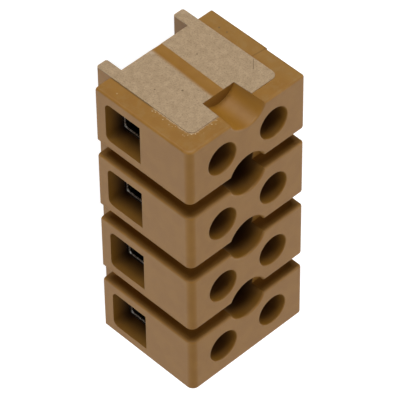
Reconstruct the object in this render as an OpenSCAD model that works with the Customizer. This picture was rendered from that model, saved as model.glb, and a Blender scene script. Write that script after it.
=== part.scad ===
// Screw terminal block: a moulded strip of poles, sawn off a longer strip at one end.
// Each pole holds a folded metal sleeve with a clamping screw and a pressure plate at each wire side.
// X runs along the strip towards the sawn end, Y across it from wire side to wire side, Z up to the screw face.

/* [Strip] */
// Number of poles left on the strip
pole_count = 4; // [2:1:6]
// Distance from one pole to the next
pole_pitch = 12; // [11:0.5:16]
// Length of a pole block along the strip
pole_l = 9.6; // [8.8:0.1:10.2]
// Width of a pole block, from one wire side to the other
pole_w = 21.1; // [19:0.1:26]
// Height of a pole block, from its underside to the screw face
pole_h = 17.3; // [16.5:0.1:20]
// Radius of the edge between the +Y wire side and the screw face
near_edge_r = 1.1; // [0.6:0.1:1.4]
// Radius of the edge between the -Y wire side and the screw face
far_edge_r = 0.5; // [0.5:0.05:1]
// Radius of the edges round the ends of a pole block
end_edge_r = 0.4; // [0.1:0.05:0.45]
// Height of the mould's parting line above the underside of a pole
parting_h = 10.1; // [9:0.1:12]
// Set-back of the -Y wire side above the parting line
parting_step = 0.2; // [0.05:0.05:0.4]

/* [Web] */
// Set-back of the web from each wire side
web_side_inset = 2.75; // [1.5:0.05:3.5]
// Set-back of the web from the screw face
web_top_inset = 2.4; // [1.5:0.1:4]
// Radius of the web's two upper edges
web_corner_r = 1; // [0.5:0.1:2]
// How far the sawn web stands out from the last pole
saw_stub = 0.1; // [0.05:0.05:1]

/* [Feet] */
// Height of the two foot rails below the poles and the web
foot_h = 2.8; // [1:0.1:4]
// Thickness of a foot rail
foot_t = 1.85; // [1:0.05:3]
// Radius of the foot rails' lower edges
foot_edge_r = 0.35; // [0.1:0.05:0.5]

/* [Fixing holes] */
// Diameter of the hole for a fixing screw's shank
fixing_d = 3.3; // [2.5:0.1:4]
// Diameter at the underside of the tapered hole that the saw went through
sawn_hole_d = 2.5; // [2.3:0.1:3.2]
// Diameter of the head recess at the screw face
recess_mouth_d = 6.6; // [5.5:0.1:7]
// Diameter of the head recess at its floor
recess_floor_d = 6.1; // [5:0.1:6.5]
// Depth of the head recess below the screw face
recess_depth = 5.5; // [4:0.1:7]
// Radius of the head recess's rounded mouth
recess_mouth_r = 0.3; // [0.1:0.05:0.5]

/* [Wire tunnels] */
// Width of a wire tunnel along the strip
tunnel_w = 6.5; // [6:0.1:7]
// Height of a wire tunnel
tunnel_h = 6.5; // [6:0.1:7]
// Thickness of the wall below a wire tunnel
tunnel_floor_t = 1.7; // [1.2:0.1:2.5]
// Radius of a wire tunnel's two lower edges
tunnel_corner_r = 0.9; // [0.3:0.1:1.4]

/* [Screw wells] */
// Play of a screw head in its well, at each side
well_play = 0.125; // [0.05:0.025:0.4]
// Radius of a well's rounded mouth
well_mouth_r = 0.15; // [0.05:0.05:0.3]
// Distance between the two screws of a pole
screw_spacing = 9.3; // [8:0.1:10.5]

/* [Clamp sleeves] */
// Set-back of a sleeve's ends from the wire sides
sleeve_recess = 2.85; // [2:0.05:3.2]
// Thickness of the folded sheet
sheet_t = 0.6; // [0.5:0.05:0.7]
// Outside radius of the sheet's bends
bend_r = 1; // [0.75:0.05:1.2]
// Play of a sleeve in its tunnel, at each side
sleeve_play = 0.1; // [0.05:0.05:0.2]

/* [Clamping screws] */
// Diameter of the screw's shank, over its thread
shank_d = 3.5; // [3:0.1:3.8]
// Play of the shank in the sleeve's tapped hole, at each side
thread_play = 0.05; // [0.02:0.01:0.1]
// Diameter of the screw head
head_d = 4.65; // [4.3:0.05:4.9]
// Height of the screw head
head_h = 2; // [1.6:0.1:2.4]
// Width of the screwdriver slot
slot_w = 0.8; // [0.6:0.1:1.2]
// Depth of the screwdriver slot
slot_depth = 1.1; // [0.6:0.1:1.4]
// Diameter of the neck that carries the pressure plate
neck_d = 2; // [1.6:0.1:2.2]
// Diameter of the collar below the neck
collar_d = 2.8; // [2.5:0.1:2.9]
// Height of the collar
collar_h = 0.3; // [0.2:0.05:0.4]

/* [Pressure plates] */
// Length of a plate along the wire
plate_l = 4.4; // [3.6:0.1:4.8]
// Thickness of a plate
plate_t = 0.9; // [0.8:0.05:1.2]
// Play of a plate between the sleeve's walls and below its roof
plate_play = 0.1; // [0.05:0.05:0.2]
// Play of the screw's neck and collar in the plate
swivel_play = 0.05; // [0.02:0.01:0.08]
// Chamfer that leads a wire in below the plate
lead_in = 0.35; // [0.1:0.05:0.5]
// Space left over the sleeve's floor when a screw is right down
closed_gap = 0.2; // [0.1:0.05:0.5]

/* [Hidden] */
$fn = 48;
// Facets in a rounded edge, and in the small edges round the pole ends
edge_steps = 6;
end_steps = 3;
// Overlap of cutting shapes past the faces that they cut
over = 1;

// Levels, from the surface that the feet stand on
pole_z = foot_h;
face_z = pole_z + pole_h;
web_top_z = face_z - web_top_inset;
tunnel_z = pole_z + tunnel_floor_t;
recess_z = face_z - recess_depth;

// Lengths along the strip, from its plain end
strip_l = (pole_count - 1) * pole_pitch + pole_l + saw_stub;
plain_end_x = -strip_l / 2;
web_w = pole_w - 2 * web_side_inset;

// Sleeve section, folded from one strip whose two ends lap on the screw side
sleeve_w = tunnel_w - 2 * sleeve_play;
sleeve_h = tunnel_h - 2 * sleeve_play;
sleeve_l = pole_w - 2 * sleeve_recess;
sleeve_roof_t = 2 * sheet_t;
sleeve_floor_z = tunnel_z + sheet_t;
sleeve_ceiling_z = tunnel_z + sleeve_h - sleeve_roof_t;
sleeve_top_z = tunnel_z + sleeve_h;
bend_inner_r = bend_r - sheet_t;
tapped_d = shank_d + 2 * thread_play;

// Plate and screw, with the screw right up
well_d = head_d + 2 * well_play;
plate_w = sleeve_w - 2 * sheet_t - 2 * plate_play;
plate_edge_r = bend_inner_r / 2;
plate_top_z = sleeve_ceiling_z - plate_play;
plate_z = plate_top_z - plate_t;
screw_travel = plate_z - sleeve_floor_z - closed_gap;
head_z = sleeve_top_z + screw_travel + closed_gap;
shank_z = plate_top_z + swivel_play;
collar_room = collar_h + 2 * swivel_play;
collar_z = plate_z + swivel_play;

// Names of the pieces: poles are numbered from the plain end, a is the +Y wire side and b the -Y one
SIDES = ["a", "b"];
function side_y(s) = (s == 0 ? 1 : -1) * screw_spacing / 2;
function pole_x(i) = plain_end_x + pole_l / 2 + (i - 1) * pole_pitch;

// Points of an arc from angle a0 to angle a1, or its corner alone where the radius is 0
function arc(centre, r, a0, a1, steps) =
    r == 0 ? [centre] : [
        for (k = [0:steps]) let (a = a0 + (a1 - a0) * k / steps) centre + r * [cos(a), sin(a)]];

// Rectangle that stands on y = 0, with its lower and upper corners rounded
function rounded_rect(w, h, r_low, r_high, steps) = concat(
    arc([-w / 2 + r_low, r_low], r_low, 180, 270, steps),
    arc([w / 2 - r_low, r_low], r_low, 270, 360, steps),
    arc([w / 2 - r_high, h - r_high], r_high, 0, 90, steps),
    arc([-w / 2 + r_high, h - r_high], r_high, 90, 180, steps)
);

// Extrusions of an outline along X and along Y, centred on the origin; its own y becomes Z
module along_x(l) {
    rotate([90, 0, 90]) linear_extrude(l, center = true) children();
}

module along_y(l) {
    rotate([90, 0, 0]) linear_extrude(l, center = true) children();
}

// Round rod along X, centred on the origin, with its two rims rounded
module rounded_rod(l, r, rim_r) {
    rotate([0, 90, 0]) rotate_extrude() polygon(concat(
        [[0, -l / 2]],
        arc([r - rim_r, -l / 2 + rim_r], rim_r, 270, 360, end_steps),
        arc([r - rim_r, l / 2 - rim_r], rim_r, 0, 90, end_steps),
        [[0, l / 2]]
    ));
}

// An upper quarter of a pole block, out to one of its long edges: two crossed slabs and a rod in the edge
module pole_quarter(w, h, r) {
    translate([0, (w - r) / 2, 0]) along_y(w - r)
        polygon(rounded_rect(pole_l, h, 0, end_edge_r, end_steps));
    linear_extrude(h - r) polygon(rounded_rect(pole_l, w, 0, end_edge_r, end_steps));
    translate([0, w - r, h - r]) rounded_rod(pole_l, r, end_edge_r);
}

// One pole block: a slab with a square underside, and two rounded quarters over the parting line
module pole_block() {
    half_w = pole_w / 2;
    upper_h = pole_h - parting_h;
    translate([0, -half_w, pole_z]) linear_extrude(parting_h)
        polygon(rounded_rect(pole_l, pole_w, end_edge_r, end_edge_r, end_steps));
    translate([0, 0, pole_z + parting_h]) {
        pole_quarter(half_w, upper_h, near_edge_r);
        rotate([0, 0, 180]) pole_quarter(half_w - parting_step, upper_h, far_edge_r);
    }
}

// The web that joins the poles, run out to the sawn end
module web() {
    first = plain_end_x + pole_l / 2;
    last = strip_l / 2;
    translate([(first + last) / 2, 0, pole_z]) along_x(last - first)
        polygon(rounded_rect(web_w, web_top_z - pole_z, 0, web_corner_r, edge_steps));
}

// One foot rail below the edge of the web, along the whole strip
module foot_rail(side) {
    translate([0, side * (web_w - foot_t) / 2, 0]) along_x(strip_l)
        polygon(rounded_rect(foot_t, foot_h + over, foot_edge_r, 0, end_steps));
}

// What the rounded mouth of a round hole in the screw face takes away
module round_mouth(d, r) {
    lip = [for (k = [0:end_steps]) let (a = 90 * k / end_steps) [d / 2 + r - r * cos(a), r * sin(a)]];
    translate([0, 0, face_z - r]) rotate_extrude()
        polygon(concat([[0, 0]], lip, [[d / 2 + r, r + over], [0, r + over]]));
}

// Hole between two poles for a fixing screw, with a tapered recess for its head
module fixing_hole(base_d) {
    taper = (recess_mouth_d - recess_floor_d) / recess_depth;
    round_mouth(recess_mouth_d - taper * recess_mouth_r, recess_mouth_r);
    shank_l = recess_z - pole_z;
    slope = (fixing_d - base_d) / shank_l;
    translate([0, 0, pole_z - over])
        cylinder(d1 = base_d - slope * over, d2 = fixing_d + slope * over, h = shank_l + 2 * over);
    translate([0, 0, recess_z])
        cylinder(d1 = recess_floor_d, d2 = recess_mouth_d + taper * over, h = recess_depth + over);
}

// Tunnel for the wires and the clamp sleeve, right through a pole
module wire_tunnel() {
    translate([0, 0, tunnel_z]) along_y(pole_w + 2 * over)
        polygon(rounded_rect(tunnel_w, tunnel_h, tunnel_corner_r, 0, edge_steps));
}

// Well over a clamping screw, from the screw face into the tunnel
module screw_well() {
    translate([0, 0, tunnel_z + tunnel_h / 2]) cylinder(d = well_d, h = face_z - tunnel_z);
    round_mouth(well_d, well_mouth_r);
}

// Moulded strip: pole blocks, web and foot rails in one piece
module housing() {
    color([0.60, 0.46, 0.29]) difference() {
        union() {
            for (i = [1:pole_count]) translate([pole_x(i), 0, 0]) pole_block();
            web();
            for (side = [-1, 1]) foot_rail(side);
        }
        for (i = [1:pole_count]) {
            translate([pole_x(i), 0, 0]) wire_tunnel();
            for (s = [0, 1]) translate([pole_x(i), side_y(s), 0]) screw_well();
            // The last of these lies half beyond the saw cut
            translate([pole_x(i) + pole_pitch / 2, 0, 0]) fixing_hole(i < pole_count ? fixing_d : sawn_hole_d);
        }
    }
}

// Rectangular sleeve folded from plated sheet; the roof is the two lapped ends, tapped together
module clamp_sleeve(i) {
    lap_foot = sheet_t / 2;
    color([0.80, 0.79, 0.76]) translate([pole_x(i), 0, tunnel_z]) difference() {
        along_y(sleeve_l) polygon(rounded_rect(sleeve_w, sleeve_h, bend_r, bend_r, edge_steps));
        translate([0, 0, sheet_t]) along_y(sleeve_l + 2 * over)
            polygon(rounded_rect(
                sleeve_w - 2 * sheet_t, sleeve_h - sheet_t - sleeve_roof_t,
                bend_inner_r, bend_inner_r, edge_steps));
        // Groove where the outer lap ends over the bend of the inner one
        translate([-sleeve_w / 2 + bend_r, 0, sleeve_h]) along_y(sleeve_l + 2 * over)
            polygon([
                [0, over], [0, -sheet_t], [-lap_foot, -sheet_t],
                [-bend_r - over, -sheet_t / 2], [-bend_r - over, over]]);
        for (s = [0, 1]) translate([0, side_y(s), sleeve_h - sleeve_roof_t - over])
            cylinder(d = tapped_d, h = sleeve_roof_t + 2 * over);
    }
}

// Slotted screw: head, shank, and the neck and collar that the pressure plate hangs on
module clamping_screw(i, s) {
    head_chamfer = (head_d - shank_d) / 6;
    color([0.74, 0.74, 0.73]) translate([pole_x(i), side_y(s), 0]) difference() {
        union() {
            translate([0, 0, head_z + head_h - head_chamfer])
                cylinder(d1 = head_d, d2 = head_d - 2 * head_chamfer, h = head_chamfer);
            translate([0, 0, head_z]) cylinder(d = head_d, h = head_h - head_chamfer);
            translate([0, 0, shank_z]) cylinder(d = shank_d, h = head_z - shank_z);
            translate([0, 0, collar_z]) cylinder(d = neck_d, h = shank_z - collar_z);
            translate([0, 0, collar_z]) cylinder(d = collar_d, h = collar_h);
        }
        translate([-head_d / 2 - over, -slot_w / 2, head_z + head_h - slot_depth])
            cube([head_d + 2 * over, slot_w, slot_depth + over]);
    }
}

// Plate that the screw presses on the wire; its slot lets it slide onto the screw's neck from the wire side
module pressure_plate(i, s) {
    neck_room_d = neck_d + 2 * swivel_play;
    collar_room_d = collar_d + 2 * swivel_play;
    color([0.72, 0.71, 0.69]) translate([pole_x(i), side_y(s), plate_z]) rotate([0, 0, 180 * s]) difference() {
        intersection() {
            along_x(plate_w) polygon([
                [-plate_l / 2, 0], [plate_l / 2 - lead_in, 0], [plate_l / 2, lead_in],
                [plate_l / 2, plate_t], [-plate_l / 2, plate_t]]);
            along_y(plate_l) polygon(rounded_rect(plate_w, plate_t, plate_edge_r, plate_edge_r, end_steps));
        }
        translate([0, 0, -over]) cylinder(d = neck_room_d, h = plate_t + 2 * over);
        translate([-neck_room_d / 2, 0, -over]) cube([neck_room_d, plate_l, plate_t + 2 * over]);
        translate([0, 0, -over]) cylinder(d = collar_room_d, h = collar_room + over);
        translate([-collar_room_d / 2, 0, -over]) cube([collar_room_d, plate_l, collar_room + over]);
    }
}

housing();
for (i = [1:pole_count]) {
    clamp_sleeve(i);
    for (s = [0, 1]) {
        clamping_screw(i, s);
        pressure_plate(i, s);
    }
}
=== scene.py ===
import math

import bmesh
import bpy
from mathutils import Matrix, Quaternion, Vector


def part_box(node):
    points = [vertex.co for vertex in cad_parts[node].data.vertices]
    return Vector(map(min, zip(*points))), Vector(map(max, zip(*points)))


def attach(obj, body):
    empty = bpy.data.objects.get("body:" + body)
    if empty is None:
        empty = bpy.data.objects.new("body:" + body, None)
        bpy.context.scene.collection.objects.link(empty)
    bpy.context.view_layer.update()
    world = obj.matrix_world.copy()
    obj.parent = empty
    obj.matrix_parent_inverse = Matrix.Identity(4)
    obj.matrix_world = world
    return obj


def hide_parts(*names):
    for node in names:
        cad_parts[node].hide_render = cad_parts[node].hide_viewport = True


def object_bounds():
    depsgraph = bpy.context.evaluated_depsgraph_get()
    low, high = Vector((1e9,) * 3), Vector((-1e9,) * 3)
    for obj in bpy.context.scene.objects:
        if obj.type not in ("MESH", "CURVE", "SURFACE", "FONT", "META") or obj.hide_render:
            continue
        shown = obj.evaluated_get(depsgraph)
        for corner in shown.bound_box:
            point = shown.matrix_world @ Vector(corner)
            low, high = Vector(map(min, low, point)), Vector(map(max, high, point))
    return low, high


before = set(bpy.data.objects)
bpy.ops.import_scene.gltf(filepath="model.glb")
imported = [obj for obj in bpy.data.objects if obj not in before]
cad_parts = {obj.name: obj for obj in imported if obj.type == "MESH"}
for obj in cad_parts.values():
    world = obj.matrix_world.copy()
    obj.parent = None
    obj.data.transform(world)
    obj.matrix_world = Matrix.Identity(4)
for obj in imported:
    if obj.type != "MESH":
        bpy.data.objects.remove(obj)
cad_low, cad_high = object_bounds()


# Housing: the block's body, one strip of poles on a narrower web with two foot rails.
# It is moulded in ochre-brown plastic with a satin skin; the saw that cut this length off
# a longer strip left a paler, grainy face at the +X end.
mm = 0.001


def middle_mm(node):
    """The middle of a solid's box, in millimetres."""
    low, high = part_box(node)
    return (low + high) / (2 * mm)


# Sizes and places of the moulding, in millimetres
saw_x = cad_high.x / mm
last_pole_x = 22.75
last_pole_mid = middle_mm("clamp_sleeve_4").x
half_pitch = (last_pole_mid - middle_mm("clamp_sleeve_3").x) / 2
gap_half_w = 1.2
side_y = cad_high.y / mm
face_z = cad_high.z / mm
base_z = 2.8
web_half_w = 7.8
web_top_z = 17.7
web_corner_r = 1.0
tunnel_half_w = 3.25
tunnel_floor_z = 4.5
tunnel_top_z = 11.0
well_y = middle_mm("clamping_screw_4a").y
well_r = 2.45
shank_hole_r = 1.65
sawn_hole_r = 1.25
recess_z = 14.6
recess_floor_r = 3.05
recess_mouth_r = 3.3
mould_edge = 0.08
touch = 0.01

# The groove that the saw left of the last shank hole: its two edges at the strip's foot,
# how far each moves across for each millimetre of height, and its depth
groove_far_y = -1.36
groove_far_slope = 0.025
groove_near_y = 0.90
groove_near_slope = 0.04
groove_depth = 0.075

# Depths in an opening where its painted shade starts and where it is full, and how strong it is
tunnel_fade = (0.4, 3.2)
well_fade = (0.2, 4.2)
recess_fade = (0.4, 3.6)
gap_fade = (1.1, 2.4)
tunnel_shade = 0.54
tunnel_floor_shade = 0.42
recess_shade = 0.9
gap_shade = 0.2

# Colours of the skin, of the painted shade in its openings, of the sawn plastic and of the marks on both,
# two of them painted shade lines
ochre = (0.298, 0.136, 0.013, 1)
ochre_deep = (0.276, 0.122, 0.010, 1)
# painted shade: the dark ochre that tunnels, wells, recesses and gaps are blended to
painted_shade_ochre = (0.044, 0.016, 0.0005, 1)
ochre_scuffed = (0.300, 0.165, 0.040, 1)
# partly painted shade: the brown of the parting line stands in for the shade of its small step
parting_shade_brown = (0.170, 0.068, 0.006, 1)
# painted shadow: the dark of the line at the foot of the sawn web's near side
step_shadow_dark = (0.090, 0.045, 0.006, 1)
chip_pale = (0.600, 0.460, 0.260, 1)
sawn_pale = (0.318, 0.217, 0.118, 1)
sawn_dust = (0.472, 0.336, 0.200, 1)
sawn_pore = (0.200, 0.130, 0.065, 1)
burr_pale = (0.520, 0.390, 0.270, 1)
pit_dark = (0.120, 0.070, 0.030, 1)

# Round marks on the end: place across the strip, height and radius
pits = (
    (3.00, 11.11, 0.16), (5.40, 8.44, 0.12), (-3.06, 7.55, 0.14),
    (-8.70, 5.90, 0.15), (-8.80, 7.25, 0.13),
)
light_specks = ((9.29, 5.52, 0.13),)
groove_burrs = ((0.85, 3.2, 0.45),)

# Straight marks on the end, one of them partly a painted shade line: first place, last place and half width
parting_shade_line = ((last_pole_x, -10.5, 13.05), (last_pole_x, -7.6, 12.75), 0.16)
saw_scratch = ((saw_x, -7.74, 13.25), (saw_x, -6.10, 14.85), 0.09)

# Wear and a painted shadow line on the end: from where to where each comes or goes, across the strip or in
# height
far_scuffs_y = (-9.0, -7.0)
corner_wear_y = (2.0, 4.5)
corner_wear_z = (10.3, 11.3)
step_shadow_top_z = (9.8, 11.0)


class Signal:
    """A socket of a finish's node tree. Arithmetic on it adds Math nodes."""

    def __init__(self, tree, socket=None):
        self.tree = tree
        self.socket = socket

    def node(self, kind, settings, inputs, output=0):
        """Adds a node, sets its settings first, then the values or links of its sockets."""
        made = self.tree.nodes.new("ShaderNode" + kind)
        for name, value in settings.items():
            setattr(made, name, value)
        for name, value in inputs.items():
            if isinstance(value, Signal):
                self.tree.links.new(value.socket, made.inputs[name])
            else:
                made.inputs[name].default_value = value
        return Signal(self.tree, made.outputs[output])

    def apply(self, operation, other=0.0):
        return self.node("Math", {"operation": operation}, {0: self, 1: other})

    def __add__(self, other):
        return self.apply("ADD", other)

    def __sub__(self, other):
        return self.apply("SUBTRACT", other)

    def __rsub__(self, other):
        return self.node("Math", {"operation": "SUBTRACT"}, {0: other, 1: self})

    def __mul__(self, other):
        return self.apply("MULTIPLY", other)

    __radd__ = __add__
    __rmul__ = __mul__

    def size(self):
        return self.apply("ABSOLUTE")

    def rise(self, start, end):
        """0 below start, 1 above end, smooth between them."""
        return self.node("MapRange", {"interpolation_type": "SMOOTHSTEP"},
                         {"Value": self, "From Min": start, "From Max": end})

    def fall(self, start, end):
        """1 below start, 0 above end, smooth between them."""
        return 1 - self.rise(start, end)

    def blend(self, first, second):
        """The first colour where this is 0, the second where it is 1."""
        return self.node("Mix", {"data_type": "RGBA"}, {0: self, 6: first, 7: second}, 2)

    def axis(self, name):
        """The X, Y or Z of a place."""
        return self.node("SeparateXYZ", {}, {0: self}, name)

    def distance(self, other):
        """How far a place is from another one."""
        return self.node("VectorMath", {"operation": "DISTANCE"}, {0: self, 1: other}, "Value")

    def noise(self, scale, detail=2.0, roughness=0.5):
        """Cloudy noise over a place."""
        return self.node("TexNoise", {}, {"Vector": self, "Scale": scale, "Detail": detail,
                                          "Roughness": roughness})

    def streak(self, start, end, half_w):
        """1 along the line between two places, 0 farther from it than half_w, fading at both ends."""
        fade = 0.3
        way = Vector(end) - Vector(start)
        arm = self.node("VectorMath", {"operation": "SUBTRACT"}, {0: self, 1: start})
        along = self.node("VectorMath", {"operation": "DOT_PRODUCT"}, {0: arm, 1: way.normalized()}, "Value")
        foot = self.node("VectorMath", {"operation": "SCALE"}, {0: way.normalized(), "Scale": along})
        inside = along.rise(0, fade) * along.fall(way.length - fade, way.length)
        return arm.distance(foot).fall(0.3 * half_w, half_w) * inside


def new_finish(name):
    """A material with only a Principled shader: returns it, its shader and a place in millimetres."""
    material = bpy.data.materials.new(name)
    material.use_nodes = True
    tree = material.node_tree
    shader = tree.nodes["Principled BSDF"]
    place = Signal(tree).node("TexCoord", {}, {}, "Object")
    place_mm = place.node("VectorMath", {"operation": "SCALE"}, {0: place, "Scale": 1 / mm})
    return material, shader, place_mm


def feed(shader, socket, signal):
    signal.tree.links.new(signal.socket, shader.inputs[socket])


def from_nearest_pole(place):
    """How far a place is from the middle of the nearest pole, along the strip."""
    return (place.axis("X") - last_pole_mid).size().apply("PINGPONG", half_pitch)


def bore_shade(place):
    """Painted shade in the wire tunnels and the screw wells: how much darker they are painted from their
    mouths inwards.
    """
    across = place.axis("Y").size()
    z = place.axis("Z")
    in_bore = from_nearest_pole(place).fall(tunnel_half_w + 0.05, tunnel_half_w + 0.25)
    below_roof = z.fall(tunnel_top_z + 0.03, tunnel_top_z + 0.1)
    above_base = z.rise(tunnel_floor_z - 0.2, tunnel_floor_z - 0.1)
    by_floor = z.fall(tunnel_floor_z + 0.1, tunnel_floor_z + 2.0)
    into_tunnel = (side_y - across).rise(*tunnel_fade) * below_roof * above_base
    past_inner = across.rise(well_y - well_r - 0.2, well_y - well_r)
    before_outer = across.fall(well_y + well_r + 0.3, well_y + well_r + 0.5)
    into_well = (face_z - z).rise(*well_fade) * (1 - below_roof) * past_inner * before_outer
    return in_bore * (into_tunnel * (by_floor * tunnel_floor_shade + tunnel_shade) + into_well)


def between_shade(place):
    """Painted shade in the recessed fixing holes and in the gaps between the poles."""
    from_end = place.axis("X").size()
    y = place.axis("Y")
    z = place.axis("Z")
    from_gap = half_pitch - from_nearest_pole(place)
    from_hole = (from_gap * from_gap + y * y).apply("SQRT")
    between_poles = from_end.fall(last_pole_mid, last_pole_mid + 0.1)
    in_recess = from_hole.fall(recess_mouth_r + 0.02, recess_mouth_r + 0.06) * between_poles
    in_shank = from_hole.fall(shank_hole_r + 0.01, shank_hole_r + 0.05)
    above_mouth = z.rise(base_z + 0.1, base_z + 3.2)
    above_floor = z.rise(recess_z - 0.2, recess_z - 0.05).apply("MAXIMUM", in_shank * above_mouth)
    into_recess = in_recess * above_floor * (face_z - z).rise(*recess_fade)
    from_outside = (side_y - y.size()).apply("MINIMUM", face_z - z)
    before_end = from_end.fall(last_pole_x - 1.25, last_pole_x - 0.75)
    in_gap = from_gap.fall(gap_half_w + 0.02, gap_half_w + 0.16) * before_end * from_outside.fall(*gap_fade)
    return into_recess * recess_shade + in_gap * (1 - in_recess) * gap_shade


def spots(place, marks):
    """1 on each of the round marks of the end, 0 beside them."""
    def spot(y, z, radius):
        x = last_pole_x if abs(y) > web_half_w else saw_x
        return place.distance((x, y, z)).fall(0.4 * radius, 1.4 * radius)

    return sum(spot(*mark) for mark in marks)


def worn_margin(place, plastic, on_end):
    """The last pole's end round the sawn web: scuffed skin with the mould's parting line, partly painted as
    shade, a painted shadow line low beside the web, and fray and chips that the saw left round the near
    corner."""
    y = place.axis("Y")
    z = place.axis("Z")
    scuffs = place.noise(0.8, 3.0, 0.6).rise(0.45, 0.65) * 0.4 + y.fall(*far_scuffs_y) * 0.35
    margin = (on_end * scuffs).blend(plastic, ochre_scuffed)

    past_y = (y - (web_half_w - web_corner_r)).apply("MAXIMUM", 0.0)
    past_z = (z - (web_top_z - web_corner_r)).apply("MAXIMUM", 0.0)
    from_web = (past_y * past_y + past_z * past_z).apply("SQRT") - web_corner_r
    near_corner = on_end * z.rise(*corner_wear_z) * y.rise(*corner_wear_y)
    ragged = place.noise(2.6, 3.0, 0.6)
    frayed = near_corner * (ragged * 0.9 - from_web).rise(0.15, 0.45)
    margin = (frayed * 0.75).blend(margin, sawn_dust)
    flakes = place.node("TexVoronoi", {"feature": "F1"}, {"Vector": place, "Scale": 2.6}, "Distance")
    chipped = near_corner * from_web.rise(0.05, 0.15) * from_web.fall(0.5, 0.95) * flakes.fall(0.14, 0.34)
    margin = (chipped * 0.8).blend(margin, chip_pale)

    # the mould's parting line, drawn darker as a painted shade line for its step, which the shape leaves out
    margin = (on_end * place.streak(*parting_shade_line) * 0.55).blend(margin, parting_shade_brown)
    # painted shadow line on the end beside the web, low down, where the sawn stub steps out
    beside_web = y.rise(web_half_w - 0.02, web_half_w + 0.01) * y.fall(web_half_w + 0.1, web_half_w + 0.26)
    step_shadow = on_end * beside_web * z.fall(*step_shadow_top_z)
    return (step_shadow * 0.5).blend(margin, step_shadow_dark)


def sawn_cut(place, grain):
    """Pale sawn plastic: grain, dust and pores, one deep scratch and a burr in the groove."""
    dust = place.noise(1.1, 3.0)
    cut = (grain.rise(0.3, 0.7) * 0.6 + dust.rise(0.3, 0.7) * 0.4).blend(sawn_pale, sawn_dust)
    pores = place.noise(4.2, 1.0).fall(0.30, 0.44)
    cut = (pores * 0.5).blend(cut, sawn_pore)
    cut = (place.streak(*saw_scratch) * 0.6).blend(cut, pit_dark)
    return (spots(place, groove_burrs) * 0.5).blend(cut, burr_pale)


def moulding_finish():
    """Satin ochre plastic with painted shade in its openings, worn at its end and pale on the sawn face."""
    material, shader, place = new_finish("moulded_ochre")
    x = place.axis("X")
    y = place.axis("Y")
    z = place.axis("Z")
    skin = place.noise(9.0)
    mottle = place.noise(0.45, 3.0).rise(0.35, 0.65)
    shade = bore_shade(place) + between_shade(place)
    # painted shade: the openings are blended towards the dark ochre as they go deeper
    plastic = shade.blend(mottle.blend(ochre_deep, ochre), painted_shade_ochre)

    past_far = y - z * groove_far_slope - groove_far_y
    past_near = y - z * groove_near_slope - groove_near_y
    in_groove = past_far.rise(0.02, 0.12) * past_near.fall(-0.8, -0.05)
    by_saw = x.rise(saw_x - 0.095, saw_x - 0.08)
    sawn = by_saw * (1 - in_groove)
    on_end = x.rise(last_pole_x - 0.1, last_pole_x - 0.05) * (1 - by_saw)
    grain = place.noise(5.5, 4.0, 0.65)
    surface = sawn.blend(worn_margin(place, plastic, on_end), sawn_cut(place, grain))
    surface = ((on_end + by_saw) * spots(place, pits) * 0.8).blend(surface, pit_dark)
    surface = (on_end * spots(place, light_specks) * 0.4).blend(surface, chip_pale)
    feed(shader, "Base Color", surface)
    feed(shader, "Roughness", sawn * 0.2 + shade * 0.5 + skin * 0.08 + 0.46)
    height = skin * 0.3 + sawn * grain * 1.6
    bump = height.node("Bump", {}, {"Strength": 0.3, "Distance": 0.02 * mm, "Height": height})
    feed(shader, "Normal", bump)
    return material


merge_gap = 0.001 * mm
flat_turn = math.radians(0.5)
sharp_turn = math.radians(60)
smooth_turn = math.radians(38)


def merged_copy(node):
    """A working copy of a solid's mesh, with its loose triangles merged into whole faces."""
    shape = bmesh.new()
    shape.from_mesh(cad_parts[node].data)
    bmesh.ops.remove_doubles(shape, verts=shape.verts, dist=merge_gap)
    bmesh.ops.dissolve_limit(shape, angle_limit=flat_turn, verts=shape.verts, edges=shape.edges)
    return shape


def sharp_edges(shape):
    """The edges where two faces of a shape meet sharply and outwards."""
    return [edge for edge in shape.edges if edge.is_manifold and edge.calc_face_angle_signed() > sharp_turn]


def ease(shape, edges, width, segments=2):
    """Rounds the given edges of a shape."""
    bmesh.ops.bevel(shape, geom=edges, offset=width, offset_type="OFFSET", segments=segments, profile=0.5,
                    affect="EDGES", clamp_overlap=True, material=-1)


def finished_mesh(name, shape):
    """The mesh of a working shape, which ends here."""
    mesh = bpy.data.meshes.new(name)
    shape.to_mesh(mesh)
    shape.free()
    return mesh


def flatten_groove(shape):
    """Draws the sliver of the sawn-through hole out to a shallow groove, steep at its -Y edge only
    and widening upwards at the other."""
    axis_x = last_pole_mid + half_pitch
    cut_off = axis_x - saw_x
    taper = (shank_hole_r - sawn_hole_r) / (recess_z - base_z)
    far_steepness = 6
    near_steepness = 0.9
    for vert in shape.verts:
        x, y, z = vert.co / mm
        hole_r = sawn_hole_r + taper * (z - base_z)
        in_height = base_z - 0.05 < z < recess_z + 0.05
        if in_height and abs(math.hypot(x - axis_x, y) - hole_r) < 0.02:
            across = max(-1, min(1, y / math.sqrt(hole_r ** 2 - cut_off ** 2)))
            drop = groove_depth * min(1, far_steepness * (1 + across), near_steepness * (1 - across))
            far_y = groove_far_y + groove_far_slope * z
            near_y = groove_near_y + groove_near_slope * z
            groove_y = far_y + (near_y - far_y) * (across + 1) / 2
            vert.co = Vector((saw_x - drop, groove_y, z)) * mm


def is_moulded_edge(edge):
    """Whether an edge runs round a tunnel's mouth, a pole's base or the sawn stub."""
    ends = [vert.co / mm for vert in edge.verts]
    at_mouth = all(abs(end.y) > side_y - touch and end.z < tunnel_top_z + 0.1 for end in ends)
    at_base = all(abs(end.z - base_z) < touch and abs(end.y) > web_half_w + 0.05 for end in ends)
    at_saw = all(end.x > saw_x - touch for end in ends)
    by_recess = all(abs(end.y) < recess_mouth_r + 0.1 for end in ends)
    return at_mouth or at_base or (at_saw and not by_recess)


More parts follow.
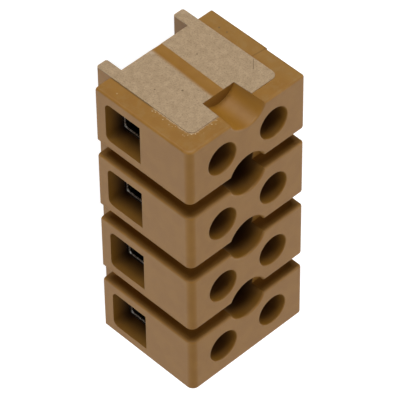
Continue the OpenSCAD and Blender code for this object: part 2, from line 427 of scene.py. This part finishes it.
def moulded_strip():
    """The strip with its shallow groove and with its sharp moulded edges eased."""
    shape = merged_copy("housing")
    flatten_groove(shape)
    ease(shape, [edge for edge in sharp_edges(shape) if is_moulded_edge(edge)], mould_edge * mm)
    mesh = finished_mesh("moulded_strip", shape)
    mesh.shade_smooth()
    square_normals(mesh)
    return mesh


def strip_holes():
    """The round holes of the strip: the axis along and across it, and smallest and largest radius."""
    holes = []
    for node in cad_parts:
        x, y, _ = middle_mm(node)
        if node.startswith("clamping_screw"):
            holes.append((x, y, well_r, well_r))
        if node.startswith("clamp_sleeve"):
            holes.append((x + half_pitch, y, shank_hole_r, shank_hole_r))
            holes.append((x + half_pitch, y, recess_floor_r, recess_mouth_r))
    return holes


def square_normals(mesh):
    """Corner normals: radial in round holes, square on flat faces, drawn to these along rounded edges."""
    holes = strip_holes()
    hole_slack = 0.02
    most_lean = 0.1
    least_square = 0.99995
    near = math.cos(smooth_turn)
    corners = [vert.co / mm for vert in mesh.vertices]

    def hole_axis(face):
        if abs(face.normal.z) > most_lean:
            return None
        for x, y, small, large in holes:
            away = [math.hypot(corners[i].x - x, corners[i].y - y) for i in face.vertices]
            if small - hole_slack < min(away) and max(away) < large + hole_slack:
                return Vector((x, y, 0))
        return None

    guides = {}
    bends = {}
    found = [None] * len(mesh.loops)
    rest = []
    for face in mesh.polygons:
        axis = hole_axis(face)
        is_flat = max(abs(value) for value in face.normal) > least_square
        for loop in face.loop_indices:
            index = mesh.loops[loop].vertex_index
            if axis is not None:
                inward = axis - corners[index]
                inward.z = 0
                found[loop] = inward.normalized()
            elif is_flat:
                found[loop] = face.normal.copy()
            if found[loop] is None:
                bends.setdefault(index, []).append(face.normal * face.area)
                rest.append((loop, index, face.normal.copy()))
            else:
                guides.setdefault(index, []).append(found[loop])
    for loop, index, normal in rest:
        close = [guide for guide in guides.get(index, ()) if guide.dot(normal) > near]
        if close:
            found[loop] = max(close, key=normal.dot)
        else:
            alike = [bend for bend in bends[index] if bend.normalized().dot(normal) > near]
            found[loop] = sum(alike, Vector()).normalized()
    mesh.normals_split_custom_set(found)


def place_piece(name, mesh, material, body, node):
    """A finished piece in the block's own frame, riding on a body in place of its solid."""
    mesh.materials.clear()
    mesh.materials.append(material)
    piece = bpy.data.objects.new(name, mesh)
    bpy.context.scene.collection.objects.link(piece)
    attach(piece, body)
    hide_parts(node)


place_piece("moulded_housing", moulded_strip(), moulding_finish(), "root", "housing")


# Clamp sleeves: a folded tube of plated sheet in each wire tunnel, with its two ends lapped
# under the screws and tapped through. They are pushed into the moulding from a wire side.
sleeve_nodes = sorted(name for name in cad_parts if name.startswith("clamp_sleeve"))
sleeve_low, sleeve_high = (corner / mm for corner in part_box(sleeve_nodes[0]))
sheet_t = 0.6
sheet_edge = 0.07
sleeve_inner_half_w = (sleeve_high.x - sleeve_low.x) / 2 - sheet_t
sleeve_floor_z = sleeve_low.z + sheet_t
sleeve_end_y = sleeve_high.y
sheet_grey = (0.62, 0.61, 0.58, 1)
sheet_bright = (0.84, 0.83, 0.80, 1)
# painted shade: the near black that covers the sleeve away from the edges of its ends
sheet_painted_shade = (0.055, 0.050, 0.042, 1)


def sheet_finish():
    """Plating with faint rolling lines along the sleeve, painted nearly black as shade except for thin
    painted highlights along the edges at its ends.
    """
    material, shader, place = new_finish("plated_sheet")
    shader.inputs["Metallic"].default_value = 1
    rolled = place.node("Mapping", {}, {"Vector": place, "Scale": (6.0, 0.25, 6.0)})
    lines = rolled.noise(2.0, 3.0)
    plated = lines.rise(0.3, 0.7).blend(sheet_grey, sheet_bright)
    past_wall = from_nearest_pole(place) - sleeve_inner_half_w
    into_sheet = past_wall.apply("MAXIMUM", sleeve_floor_z - place.axis("Z"))
    inner_edge_highlight = into_sheet.fall(0.10, 0.24)
    outer_edge_highlight = into_sheet.rise(0.44, 0.56) * 0.35
    at_end = place.axis("Y").size().rise(sleeve_end_y - 0.25, sleeve_end_y - 0.08)
    # painted shade over the sleeve, with thin painted highlights of the plated colour along the inner and
    # outer edges of its ends
    feed(shader, "Base Color", (at_end * (inner_edge_highlight + outer_edge_highlight)).blend(sheet_painted_shade, plated))
    feed(shader, "Roughness", lines * 0.15 + 0.2)
    return material


def eased_copy(node, width, from_y=0.0):
    """A smooth copy of a solid, with its sharp edges rounded where they lie past from_y across the strip."""
    shape = merged_copy(node)
    edges = [edge for edge in sharp_edges(shape) if all(abs(vert.co.y) > from_y * mm for vert in edge.verts)]
    ease(shape, edges, width * mm)
    mesh = finished_mesh(node, shape)
    mesh.shade_smooth()
    mesh.set_sharp_from_angle(angle=smooth_turn)
    return mesh


sheet_material = sheet_finish()
for node in sleeve_nodes:
    sleeve_mesh = eased_copy(node, sheet_edge, sleeve_end_y - touch)
    place_piece("folded_" + node, sleeve_mesh, sheet_material, "root", node)


# Clamping screws: turned steel, zinc plated, with a slotted head, a fine thread and a collar
# at the tip. Each is screwed down through a sleeve's tapped roof.
head_r = 2.325 * mm
head_h = 2.0 * mm
head_z = 14.3 * mm
head_rim = 0.19 * mm
head_sides = 64
slot_half_w = 0.4 * mm
slot_depth = 1.1 * mm
slot_edge = 0.05 * mm
crest_r = 1.75 * mm
root_r = 1.42 * mm
thread_pitch = 0.6 * mm
thread_turns = 10
thread_steps = 24
shank_z = 9.55 * mm
neck_r = 1.0 * mm
collar_r = 1.4 * mm
collar_h = 0.3 * mm
collar_z = 8.65 * mm
collar_edge = 0.06 * mm
tip_steps = 40
overlap = 0.05 * mm
cut_gap = 0.0001 * mm
spin_gap = 0.002 * mm
crease_turn = math.radians(35)
zinc_grey = (0.50, 0.50, 0.49, 1)
zinc_bright = (0.60, 0.60, 0.59, 1)


def zinc_finish():
    """Zinc plate with a faint cloudy change of colour and gloss."""
    material, shader, place = new_finish("zinc_plate")
    shader.inputs["Metallic"].default_value = 1
    cloud = place.noise(1.5, 3.0)
    feed(shader, "Base Color", cloud.rise(0.3, 0.7).blend(zinc_grey, zinc_bright))
    feed(shader, "Roughness", cloud * 0.2 + 0.25)
    return material


def cut_flat(shape, point, normal, clear=False):
    """Cuts a shape along a plane and, where asked, clears what lies beyond it."""
    bmesh.ops.bisect_plane(shape, geom=shape.verts[:] + shape.edges[:] + shape.faces[:], dist=cut_gap,
                           plane_co=point, plane_no=normal, clear_outer=clear)


def lift(shape, extruded, height):
    """Moves the new vertices of an extrusion up or down."""
    verts = [item for item in extruded["geom"] if isinstance(item, bmesh.types.BMVert)]
    bmesh.ops.translate(shape, verts=verts, vec=(0, 0, height))


def open_edges(shape):
    return [edge for edge in shape.edges if edge.is_boundary]


def close_up(shape):
    """Fills what is open and turns all faces outwards."""
    bmesh.ops.holes_fill(shape, edges=open_edges(shape), sides=0)
    bmesh.ops.recalc_face_normals(shape, faces=shape.faces)


def chain(shape, points):
    """Vertices joined in a row by edges."""
    verts = [shape.verts.new(point) for point in points]
    edges = [shape.edges.new(pair) for pair in zip(verts, verts[1:])]
    return verts + edges


def add_head(shape):
    """Round head: a disc at the slot's floor, its two cheeks raised, its rim drawn down."""
    floor_z = head_z + head_h - slot_depth
    bmesh.ops.create_circle(shape, cap_ends=True, segments=head_sides, radius=head_r)
    bmesh.ops.translate(shape, verts=shape.verts, vec=(0, 0, floor_z))
    for side in (-slot_half_w, slot_half_w):
        cut_flat(shape, (0, side, 0), (0, 1, 0))
    cheeks = [face for face in shape.faces if abs(face.calc_center_median().y) > slot_half_w]
    lift(shape, bmesh.ops.extrude_face_region(shape, geom=cheeks), slot_depth)
    lift(shape, bmesh.ops.extrude_edge_only(shape, edges=open_edges(shape)), head_z - floor_z)
    close_up(shape)

    top_z = head_z + head_h - merge_gap
    outer_r = head_r - touch * mm

    def top_edges():
        return [edge for edge in shape.edges if all(vert.co.z > top_z for vert in edge.verts)]

    def is_rim(edge):
        is_short = abs(edge.verts[0].co.x - edge.verts[1].co.x) < head_r
        return is_short and all(vert.co.xy.length > outer_r for vert in edge.verts)

    def is_slot_lip(edge):
        return all(abs(abs(vert.co.y) - slot_half_w) < touch * mm for vert in edge.verts)

    ease(shape, [edge for edge in top_edges() if is_rim(edge)], head_rim, 3)
    ease(shape, [edge for edge in top_edges() if is_slot_lip(edge)], slot_edge)


def add_thread(shape):
    """Right-hand thread: one turn's profile spun up a helix, cut level at both ends and closed."""
    profile = ((root_r, 0.0), (crest_r, 0.37), (crest_r, 0.50), (root_r, 0.87), (root_r, 1.0))
    start_z = shank_z - thread_pitch
    row = chain(shape, [(r, 0, start_z + turn * thread_pitch) for r, turn in profile])
    bmesh.ops.spin(shape, geom=row, cent=(0, 0, 0), axis=(0, 0, 1), dvec=(0, 0, thread_pitch / thread_steps),
                   angle=2 * math.pi * thread_turns, steps=thread_steps * thread_turns)
    bmesh.ops.remove_doubles(shape, verts=shape.verts, dist=spin_gap)
    cut_flat(shape, (0, 0, shank_z), (0, 0, -1), clear=True)
    cut_flat(shape, (0, 0, head_z + overlap), (0, 0, 1), clear=True)
    close_up(shape)


def add_tip(shape):
    """Neck and collar at the screw's tip, turned in one."""
    collar_top = collar_z + collar_h
    profile = (
        (0, collar_z), (collar_r - collar_edge, collar_z), (collar_r, collar_z + collar_edge),
        (collar_r, collar_top - collar_edge), (collar_r - collar_edge, collar_top), (neck_r, collar_top),
        (neck_r, shank_z + overlap), (0, shank_z + overlap),
    )
    row = chain(shape, [(r, 0, z) for r, z in profile])
    bmesh.ops.spin(shape, geom=row, cent=(0, 0, 0), axis=(0, 0, 1), angle=2 * math.pi, steps=tip_steps,
                   use_merge=True)
    bmesh.ops.remove_doubles(shape, verts=shape.verts, dist=spin_gap)
    bmesh.ops.recalc_face_normals(shape, faces=shape.faces)


def screw_mesh(node):
    """A whole screw, standing on its axis in the block."""
    axis = middle_mm(node) * mm
    whole = bmesh.new()
    for add_part in (add_head, add_thread, add_tip):
        shape = bmesh.new()
        add_part(shape)
        part = finished_mesh("screw_part", shape)
        whole.from_mesh(part)
        bpy.data.meshes.remove(part)
    bmesh.ops.translate(whole, verts=whole.verts, vec=(axis.x, axis.y, 0))
    mesh = finished_mesh(node, whole)
    mesh.shade_smooth()
    mesh.set_sharp_from_angle(angle=crease_turn)
    return mesh


screw_material = zinc_finish()
for node in sorted(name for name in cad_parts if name.startswith("clamping_screw")):
    tag = node.removeprefix("clamping_screw_")
    place_piece("slotted_screw_" + tag, screw_mesh(node), screw_material, "screw_" + tag, node)


# Pressure plates: small stamped steel plates, zinc plated, that hang on the screws' collars
# and press the wires onto the floor of the sleeve.
plate_edge = 0.05
plate_material = zinc_finish()
for node in sorted(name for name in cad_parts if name.startswith("pressure_plate")):
    tag = node.removeprefix("pressure_plate_")
    plate_mesh = eased_copy(node, plate_edge)
    place_piece("stamped_plate_" + tag, plate_mesh, plate_material, "plate_" + tag, node)


# Studio: a plain luminous white floor under a white dome, which only the camera sees,
# and large soft panels round the block that light its sawn end, wire side and screw face evenly.
floor_half = 2.0
floor_drop = 0.01 * mm
floor_glow = 0.97
dome_r = 1.99
dome_drop = 0.005 * mm
dome_glow = 1.0
backdrop_grey = (0.3, 0.3, 0.3, 1)
panel_distance = 0.5
panel_w = 0.4
wide_panel_w = 1.0


def add_backdrop(name, shape, glow):
    """A plain white stage piece that only the camera sees, so that it lights nothing."""
    mesh = finished_mesh(name, shape)
    material = bpy.data.materials.new(name + "_white")
    material.use_nodes = True
    shader = material.node_tree.nodes["Principled BSDF"]
    shader.inputs["Base Color"].default_value = backdrop_grey
    shader.inputs["Roughness"].default_value = 1
    shader.inputs["Specular IOR Level"].default_value = 0
    shader.inputs["Emission Color"].default_value = (1, 1, 1, 1)
    shader.inputs["Emission Strength"].default_value = glow
    mesh.materials.append(material)
    backdrop = bpy.data.objects.new(name, mesh)
    bpy.context.scene.collection.objects.link(backdrop)
    backdrop.visible_diffuse = False
    backdrop.visible_glossy = False
    backdrop.visible_shadow = False


def studio_floor():
    shape = bmesh.new()
    bmesh.ops.create_grid(shape, x_segments=1, y_segments=1, size=floor_half)
    bmesh.ops.translate(shape, verts=shape.verts, vec=(0, 0, -floor_drop))
    add_backdrop("floor", shape, floor_glow)


def studio_dome():
    shape = bmesh.new()
    bmesh.ops.create_uvsphere(shape, u_segments=48, v_segments=24, radius=dome_r)
    cut_flat(shape, (0, 0, -dome_drop), (0, 0, -1), clear=True)
    add_backdrop("dome", shape, dome_glow)


def soft_panel(name, toward, width, watts):
    """A square light panel in the given direction from the block, facing it."""
    data = bpy.data.lights.new(name, "AREA")
    data.shape = "SQUARE"
    data.size = width
    data.energy = watts
    panel = bpy.data.objects.new(name, data)
    way = Vector(toward).normalized()
    panel.location = way * panel_distance
    panel.rotation_euler = way.to_track_quat("Z", "Y").to_euler()
    panel.visible_camera = False
    bpy.context.scene.collection.objects.link(panel)


studio_floor()
studio_dome()
soft_panel("end_panel", (1, 0, 0), panel_w, 2.53)
soft_panel("back_panel", (0, -1, 1), panel_w, 1.11)
soft_panel("top_panel", (0, 0, 1), panel_w, 0.48)
soft_panel("wire_side_panel", (0, 1, 0), panel_w, 1.05)
soft_panel("wire_side_sheen", (-1, 1, -1), panel_w, 0.72)
soft_panel("edge_sheen", (-0.72, 0.48, 0.46), wide_panel_w, 1.75)
soft_panel("screw_face_sheen", (-0.66, -0.66, 0.34), panel_w, 0.63)
world = bpy.data.worlds.new("studio")
world.use_nodes = True
world.node_tree.nodes["Background"].inputs["Strength"].default_value = 0
bpy.context.scene.world = world
bpy.context.scene.view_settings.view_transform = "Standard"


# Camera: a long lens from above the sawn end, rolled so that the strip's length runs
# up the picture, as the block is seen standing on its plain end.
view_azimuth = math.radians(123.634)
view_elevation = math.radians(30.163)
view_roll = math.radians(126.2955)
view_centre = Vector((-0.210, -0.336, 10.596)) * mm
view_distance = 452.977 * mm
camera_data = bpy.data.cameras.new("camera")
camera_data.sensor_width = 36
camera_data.lens = 304.658
camera_data.clip_start = 0.05
camera = bpy.data.objects.new("camera", camera_data)
level = math.cos(view_elevation)
back = Vector((math.sin(view_azimuth) * level, -math.cos(view_azimuth) * level, math.sin(view_elevation)))
camera.rotation_mode = "QUATERNION"
camera.rotation_quaternion = (-back).to_track_quat("-Z", "Y") @ Quaternion((0, 0, 1), view_roll)
camera.location = view_centre + back * view_distance
bpy.context.scene.collection.objects.link(camera)
bpy.context.scene.camera = camera
